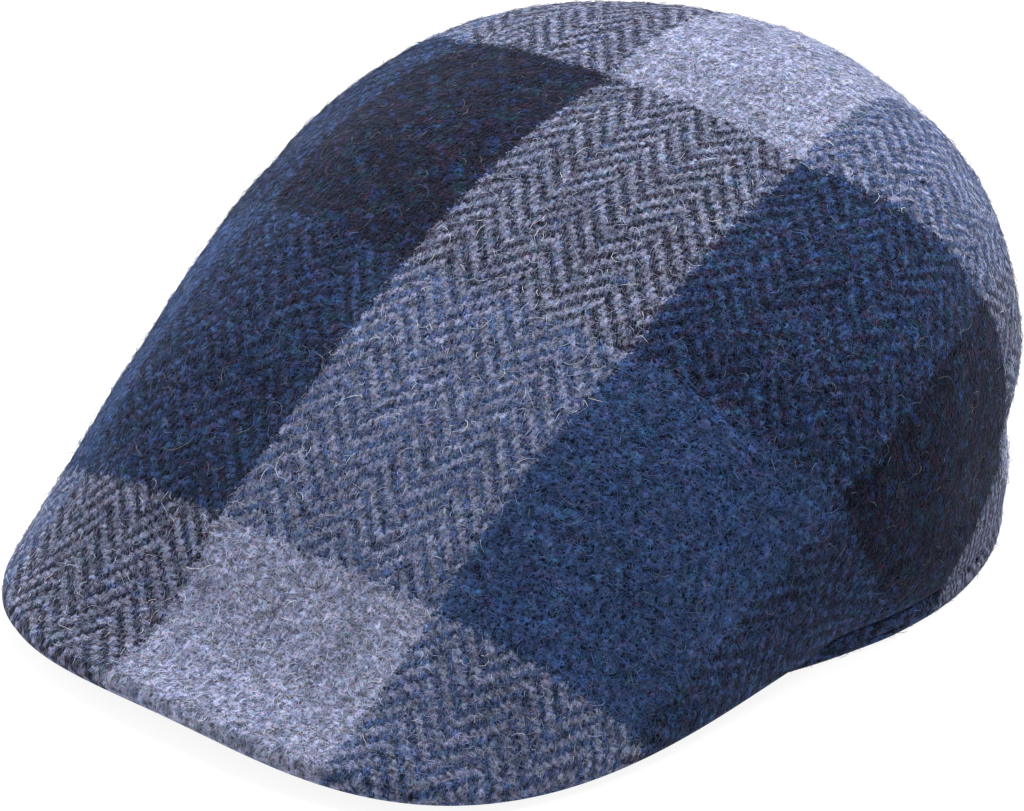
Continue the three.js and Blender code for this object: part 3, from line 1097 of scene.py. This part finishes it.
def curly_fibres(ground, first, last, count):
    root, out, along, cloth = fibre_roots(ground, first, last, count)
    length = random.uniform(*CURLY_LENGTH, (count, 1))
    turning = random.normal(0, CURLY_TURNING, (count, 1))
    rise = gamma_sizes(CURLY_RISE, count)
    paths, across = curling_paths(root, out, along, CURLY_STEPS, length, turning, rise)
    radius = random.uniform(*CURLY_THICK, (count, 1)) * FIBRE_RADIUS
    return paths, across, radius, fibre_colours(cloth)


def long_fibres(ground, first, last, count):
    root, out, along, cloth = fibre_roots(ground, first, last, count)
    length = random.uniform(*LONG_LENGTH, (count, 1))
    turning = random.uniform(*LONG_TURNING, (count, 1)) * random.choice((-1, 1), (count, 1))
    rise = random.uniform(*LONG_RISE, (count, 1))
    paths, across = curling_paths(root, out, along, LONG_STEPS, length, turning, rise)
    radius = np.full((count, 1), LONG_THICK * FIBRE_RADIUS)
    return paths, across, radius, fibre_colours(cloth) * LONG_OWN_COLOUR + np.array(LONG_PALE)


def equal_columns(points, parts):
    """Columns at which a surface is parted into strips of equal area."""
    out = np.roll(points, -1, axis=0)[:, :-1] - points[:, :-1]
    up = points[:, 1:] - points[:, :-1]
    area = np.linalg.norm(np.cross(out, up), axis=2).sum(1)
    reached = np.cumsum(area) / area.sum()
    inner = [int(np.searchsorted(reached, k / parts)) for k in range(1, parts)]
    return [0, *inner, len(points)]


limits = equal_columns(crown_points, len(FUZZ_PIECES))
fuzz = []
for name, first, last in zip(FUZZ_PIECES, limits[:-1], limits[1:]):
    place = (CROWN_GROUND, first, last)
    kinds = [
        short_fibres(*place, SHORT_FIBRES),
        curly_fibres(*place, CURLY_FIBRES),
        long_fibres(*place, LONG_FIBRES),
    ]
    piece = new_fuzz(name, kinds)
    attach(piece, "root")
    fuzz.append(piece)
place = (HEM_GROUND, 0, COLUMNS)
kinds = [short_fibres(*place, HEM_SHORT_FIBRES), curly_fibres(*place, HEM_CURLY_FIBRES)]
hem_fuzz = new_fuzz("fuzz_hem", kinds)
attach(hem_fuzz, "root")


# ---------------------------------------------------------------- cloth material


class Nodes:
    """Short ways to add and join a material's nodes."""

    def __init__(self, name):
        self.material = bpy.data.materials.new(name)
        self.material.use_nodes = True
        self.tree = self.material.node_tree
        self.tree.nodes.clear()

    def add(self, kind, **settings):
        node = self.tree.nodes.new(kind)
        for key, value in settings.items():
            setattr(node, key, value)
        return node

    def join(self, value, socket):
        if isinstance(value, bpy.types.NodeSocket):
            self.tree.links.new(value, socket)
        else:
            socket.default_value = value

    def math(self, operation, *values):
        node = self.add("ShaderNodeMath", operation=operation)
        for value, socket in zip(values, node.inputs):
            self.join(value, socket)
        return node.outputs[0]

    def mix(self, factor, first, second):
        node = self.add("ShaderNodeMix", data_type="FLOAT")
        for value, socket in zip((factor, first, second), (0, 2, 3)):
            self.join(value, node.inputs[socket])
        return node.outputs[0]

    def blend(self, factor, first, second, way="MIX"):
        node = self.add("ShaderNodeMix", data_type="RGBA", blend_type=way)
        for value, socket in zip((factor, first, second), (0, 6, 7)):
            if isinstance(value, tuple):
                value = (*value, 1) if len(value) == 3 else value
            self.join(value, node.inputs[socket])
        return node.outputs[2]

    def vector(self, x, y, z=0.0):
        node = self.add("ShaderNodeCombineXYZ")
        for value, socket in zip((x, y, z), node.inputs):
            self.join(value, socket)
        return node.outputs[0]

    def times(self, colour, red, green, blue):
        """A colour with each of its channels made brighter or darker."""
        return self.blend(1.0, colour, self.vector(red, green, blue), "MULTIPLY")

    def grey(self, colour):
        node = self.add("ShaderNodeRGBToBW")
        self.join(colour, node.inputs[0])
        return node.outputs[0]

    def noise(self, place, scale, detail=2.0, rough=0.5, distortion=0.0):
        node = self.add("ShaderNodeTexNoise", noise_dimensions="3D")
        self.join(place, node.inputs["Vector"])
        node.inputs["Scale"].default_value = scale
        node.inputs["Detail"].default_value = detail
        node.inputs["Roughness"].default_value = rough
        node.inputs["Distortion"].default_value = distortion
        return node

    def three_noises(self, place, scale, detail=2.0, rough=0.5, distortion=0.0):
        """Three noises of one grain that have nothing else to do with each other."""
        parts = self.add("ShaderNodeSeparateColor")
        noise = self.noise(place, scale, detail, rough, distortion)
        self.join(noise.outputs["Color"], parts.inputs[0])
        return parts.outputs

    def shift(self, place, noise, most):
        """A place moved either way by a noise."""
        return self.math("MULTIPLY_ADD", self.math("SUBTRACT", noise, 0.5), most, place)

    def span(self, value, low, high, to_low=0.0, to_high=1.0):
        node = self.add("ShaderNodeMapRange", interpolation_type="SMOOTHSTEP")
        for given, socket in zip((value, low, high, to_low, to_high), node.inputs):
            self.join(given, socket)
        return node.outputs[0]

    def finish(self, values):
        """A Principled shader with these values is the material's surface."""
        shader = self.add("ShaderNodeBsdfPrincipled")
        for name, value in values.items():
            self.join(value, shader.inputs[name])
        out = self.add("ShaderNodeOutputMaterial")
        self.join(shader.outputs[0], out.inputs[0])
        return self.material


def weave(n, end, pick, in_end, in_pick):
    """Two-by-two twill that turns back at each stripe: whether the warp is on top, and how
    high the yarn on top stands, by how far along its float and across itself a place is."""
    stripe = n.math("FLOORED_MODULO", end, float(HERRINGBONE_ENDS))
    falling = n.math("GREATER_THAN", stripe, RISING_ENDS - 0.5)
    # Where the diagonal falls, the lifts and the weft's floats step the other way.
    back = n.math("MULTIPLY_ADD", stripe, 2.0, TWILL_REPEAT / 2)
    back = n.math("MULTIPLY", falling, back)
    lift = n.math("ADD", n.math("SUBTRACT", pick, stripe), back)
    # A whole number gets a little more, so that rounding can't drop it to the one below.
    lift = n.math("FLOORED_MODULO", n.math("ADD", lift, 0.01), float(TWILL_REPEAT))
    lift = n.math("FLOOR", lift)
    warp_up = n.math("LESS_THAN", lift, FLOAT_LONG - 0.5)
    warp_run = n.math("MULTIPLY", n.math("ADD", lift, in_pick), 1 / FLOAT_LONG)
    weft_run = n.math("ADD", in_end, n.math("SUBTRACT", TWILL_REPEAT - 1.0, lift))
    weft_back = n.math("MULTIPLY_ADD", lift, 2.0, 1.0 - TWILL_REPEAT - FLOAT_LONG)
    weft_back = n.math("MULTIPLY", falling, weft_back)
    weft_run = n.math("MULTIPLY", n.math("ADD", weft_run, weft_back), 1 / FLOAT_LONG)

    def arch(place):
        middle = n.math("MULTIPLY_ADD", place, 2.0, -1.0)
        return n.math("MULTIPLY_ADD", n.math("MULTIPLY", middle, middle), -1.0, 1.0)

    warp_height = n.math("MULTIPLY", arch(in_end), arch(warp_run))
    weft_height = n.math("MULTIPLY", arch(in_pick), arch(weft_run))
    height = n.math("SQRT", n.math("MAXIMUM", n.mix(warp_up, weft_height, warp_height), 0.0))
    return warp_up, height


def fibre_mat(n, across, along):
    """Short strokes and curling fibres that lie over the weave, combed no one way: how much
    of them each place has, and the tufts that mix the yarns' colours."""
    mat = None
    for degrees, seed in STROKES:
        cosine, sine = math.cos(math.radians(degrees)), math.sin(math.radians(degrees))
        long_way = n.math("MULTIPLY_ADD", along, sine, n.math("MULTIPLY", across, cosine))
        short_way = n.math("MULTIPLY_ADD", along, cosine, n.math("MULTIPLY", across, -sine))
        place = n.vector(
            n.math("MULTIPLY", long_way, 1 / STROKE_LONG),
            n.math("MULTIPLY", short_way, 1 / STROKE_FINE),
            seed,
        )
        stroke = n.noise(place, **NOISES["stroke"]).outputs[0]
        mat = stroke if mat is None else n.math("MAXIMUM", mat, stroke)
    tuft = n.span(stroke, *TUFT_SHOWS, -0.5, 0.5)
    mat = n.span(mat, *STROKE_SHOWS, 0.0, STROKE_FULL)
    for scale, seed in CURLS:
        curl = n.three_noises(n.vector(across, along, seed), scale=scale, **NOISES["curl"])
        for channel, other in ((0, 1), (1, 2), (2, 0)):
            far = n.math("ABSOLUTE", n.math("SUBTRACT", curl[channel], 0.5))
            line = n.span(far, *CURL_WIDE, 1.0, 0.0)
            shows = n.span(curl[other], *CURL_SHOWS)
            mat = n.math("MAXIMUM", mat, n.math("MULTIPLY", line, shows))
    return mat, tuft


def check_colour(n, place, start, bands, colours):
    """A yarn's colour by its place, counted in threads, in the check's repeat of bands."""
    thread = n.math("SUBTRACT", n.math("FLOOR", place), float(start))
    thread = n.math("FLOORED_MODULO", thread, float(sum(bands)))
    past_first = n.math("GREATER_THAN", thread, bands[0] - 0.5)
    past_second = n.math("GREATER_THAN", thread, bands[0] + bands[1] - 0.5)
    return n.blend(past_second, n.blend(past_first, colours[0], colours[1]), colours[2])


def mixed_yarns(n, warp, weft, warp_up, height, tuft):
    """The yarn on top shows most, tufts of the other come through, and the darker one is
    mixed in over both as painted shade where unlike yarns mix."""
    pair = n.grey(n.blend(0.5, warp, weft))
    shows = n.span(pair, *PATCH_GREYS, *WEAVE_SHOWS)
    core = n.math("MULTIPLY", n.span(height, *CORE_HEIGHT), shows)
    upper = n.math("MULTIPLY", n.math("SUBTRACT", warp_up, 0.5), core)
    tufted = n.math("MULTIPLY", tuft, TUFT_MIXES)
    clamp = n.add("ShaderNodeClamp")
    n.join(n.math("ADD", n.math("ADD", upper, WARP_SHARE), tufted), clamp.inputs[0])
    yarn = n.blend(clamp.outputs[0], weft, warp)
    # Painted shade: more of the darker yarn is mixed in, more in pale patches than in dark ones.
    painted_shade = n.span(pair, *PATCH_GREYS, *PAINTED_SHADE_BY_DARKER)
    return n.blend(painted_shade, yarn, n.blend(1.0, weft, warp, "DARKEN"))


def tweed(name, dark=DARK_YARN, blue=BLUE_YARN, light=LIGHT_YARN):
    """Two-by-two twill in herringbone stripes, with a check of light, blue and dark yarn."""
    n = Nodes(name)
    cloth = n.add("ShaderNodeUVMap", uv_map="cloth")
    split = n.add("ShaderNodeSeparateXYZ")
    n.join(cloth.outputs[0], split.inputs[0])
    flat_across = n.math("MULTIPLY", split.outputs[0], 1 / MM)
    flat_along = n.math("MULTIPLY", split.outputs[1], 1 / MM)
    flat = n.vector(flat_across, flat_along)

    # The threads wander a little, and their edges fray.
    wander = n.three_noises(flat, **NOISES["wander"])
    fray = n.three_noises(flat, **NOISES["fray"])
    across = n.shift(n.shift(flat_across, wander[0], WANDER), fray[0], FRAY)
    along = n.shift(n.shift(flat_along, wander[1], WANDER), fray[1], FRAY)
    ends = n.math("DIVIDE", n.math("SUBTRACT", across, HERRINGBONE_START), END)
    picks = n.math("DIVIDE", along, PICK)
    end, in_end = n.math("FLOOR", ends), n.math("FRACT", ends)
    pick, in_pick = n.math("FLOOR", picks), n.math("FRACT", picks)
    warp_up, height = weave(n, end, pick, in_end, in_pick)
    mat, tuft = fibre_mat(n, flat_across, flat_along)

    # The patches of the check mingle at their edges.
    mingle = n.three_noises(flat, **NOISES["mingle"])
    ends, picks = n.shift(ends, mingle[0], MINGLE), n.shift(picks, mingle[1], MINGLE)
    warp = check_colour(n, ends, WARP_START, WARP_BANDS, (dark, light, blue))
    weft = check_colour(n, picks, WEFT_START, WEFT_BANDS, (blue, dark, light))
    yarn = mixed_yarns(n, warp, weft, warp_up, height, tuft)

    # Each yarn is a blend of wools, so its colour changes along its length.
    warp_line = n.vector(
        n.math("MULTIPLY", end, MELANGE_END), n.math("MULTIPLY", along, MELANGE_ALONG)
    )
    weft_line = n.vector(
        n.math("MULTIPLY", pick, MELANGE_PICK),
        n.math("MULTIPLY", across, MELANGE_ALONG),
        MELANGE_WEFT,
    )
    melange = n.noise(n.blend(warp_up, weft_line, warp_line), **NOISES["melange"])
    shade = n.span(melange.outputs[0], *MELANGE_NOISE, *MELANGE_TONE)
    yarn = n.times(yarn, shade, shade, shade)
    hue = n.three_noises(flat, **NOISES["hue"])
    redder = n.span(hue[0], *MOST_NOISE, *HUE_RED)
    bluer = n.span(hue[1], *MOST_NOISE, *HUE_BLUE)
    yarn = n.times(yarn, redder, 1.0, bluer)
    clouds = n.three_noises(flat, **NOISES["tint"])
    for channel, colour, starts, full in TINTS:
        yarn = n.blend(n.span(clouds[channel], starts, full), yarn, colour, "ADD")
    flecks = n.three_noises(flat, **NOISES["speck"])
    for channel, colour, starts, full in SPECKS:
        yarn = n.blend(n.span(flecks[channel], starts, full), yarn, colour, "ADD")

    # Light catches the mat of fibres, and less of it gets down between the yarns.
    pale = n.span(n.grey(yarn), *YARN_GREYS)
    bright = n.mix(pale, n.mix(mat, *MAT_TONE_DARK), n.mix(mat, *MAT_TONE_PALE))
    clump = n.span(n.noise(flat, **NOISES["clump"]).outputs[0], *MOST_NOISE, *CLUMP_TONE)
    deep = n.span(height, *GAP_HEIGHT, *GAP_TONE)
    worn = n.span(n.noise(flat, **NOISES["worn"]).outputs[0], *MOST_NOISE, *WORN_TONE)
    tone = n.math("MULTIPLY", n.math("MULTIPLY", bright, deep), n.math("MULTIPLY", worn, clump))

    bump = n.add("ShaderNodeBump")
    bump.inputs["Distance"].default_value = RELIEF * MM
    bump.inputs["Strength"].default_value = RELIEF_SHOWS
    relief = n.math("MULTIPLY_ADD", mat, 0.5, n.math("MULTIPLY", height, 0.5))
    n.join(relief, bump.inputs["Height"])
    return n.finish(
        {
            "Base Color": n.times(yarn, tone, tone, tone),
            "Roughness": n.mix(mat, *MAT_ROUGHNESS),
            "Normal": bump.outputs[0],
            "Specular IOR Level": 0.03,
            "Sheen Weight": 0.12,
            "Sheen Roughness": 0.35,
            "Sheen Tint": (0.6, 0.7, 1, 1),
        }
    )


def fibre_wool(name):
    """Loose wool: each fibre has the colour it was given."""
    n = Nodes(name)
    yarn = n.add("ShaderNodeAttribute", attribute_name="yarn")
    return n.finish(
        {
            "Base Color": yarn.outputs["Color"],
            "Roughness": 0.85,
            "Specular IOR Level": 0.06,
            "Sheen Weight": 0.06,
        }
    )


tweed_cloth = tweed("herringbone_tweed")
crown.data.materials.append(tweed_cloth)
hem.data.materials.append(tweed_cloth)
under.data.materials.append(tweed("under_tweed", DARK_YARN, DARK_YARN, BLUE_YARN))
wool = fibre_wool("loose_wool")
for piece in [*fuzz, hem_fuzz]:
    piece.data.materials.append(wool)

# ---------------------------------------------------------------- floor, light, camera


def floor_paint(name):
    """Pale matt paint that glows a little, so that the floor is nearly white."""
    n = Nodes(name)
    place = n.add("ShaderNodeTexCoord")
    cloud = n.noise(place.outputs["Object"], **NOISES["floor"]).outputs[0]
    shade = n.span(cloud, *MOST_NOISE, *FLOOR_TONE)
    return n.finish(
        {
            "Base Color": n.times(FLOOR_COLOUR, shade, shade, shade),
            "Roughness": 0.9,
            "Emission Color": (1, 1, 1, 1),
            "Emission Strength": FLOOR_GLOW,
        }
    )


deselect()
bpy.ops.mesh.primitive_plane_add(size=FLOOR_SIZE)
floor = bpy.context.object
floor.name = "floor"
floor.data.materials.append(floor_paint("pale_floor"))

world = bpy.data.worlds.new("studio")
bpy.context.scene.world = world
world.use_nodes = True
world.node_tree.nodes["Background"].inputs[0].default_value = (1, 1, 1, 1)
world.node_tree.nodes["Background"].inputs[1].default_value = WORLD_LIGHT


def direction(azimuth, elevation):
    """The way from the middle of the stage to a lamp or the camera."""
    a, e = math.radians(azimuth), math.radians(elevation)
    return Vector((math.sin(a) * math.cos(e), -math.cos(a) * math.cos(e), math.sin(e)))


for lamp in LAMPS:
    data = bpy.data.lights.new(lamp["name"], "AREA")
    data.shape = "DISK"
    data.size = lamp["size"]
    data.energy = lamp["power"]
    holder = bpy.data.objects.new(lamp["name"], data)
    bpy.context.scene.collection.objects.link(holder)
    way = direction(lamp["azimuth"], lamp["elevation"])
    holder.location = way * lamp["far"]
    holder.rotation_euler = (-way).to_track_quat("-Z", "Y").to_euler()

azimuth = math.radians(CAMERA_AZIMUTH)
back = direction(CAMERA_AZIMUTH, CAMERA_ELEVATION)
right = Vector((math.cos(azimuth), math.sin(azimuth), 0))
camera_data = bpy.data.cameras.new("camera")
camera_data.lens = CAMERA_LENS
camera_data.sensor_width = CAMERA_SENSOR
camera = bpy.data.objects.new("camera", camera_data)
bpy.context.scene.collection.objects.link(camera)
camera.location = back * CAMERA_DISTANCE
aim = right * AIM_RIGHT + back.cross(right) * AIM_UP
camera.rotation_euler = (aim - camera.location).to_track_quat("-Z", "Y").to_euler()
camera_data.clip_end = CAMERA_SEES
bpy.context.scene.camera = camera
bpy.context.scene.view_settings.view_transform = "Standard"
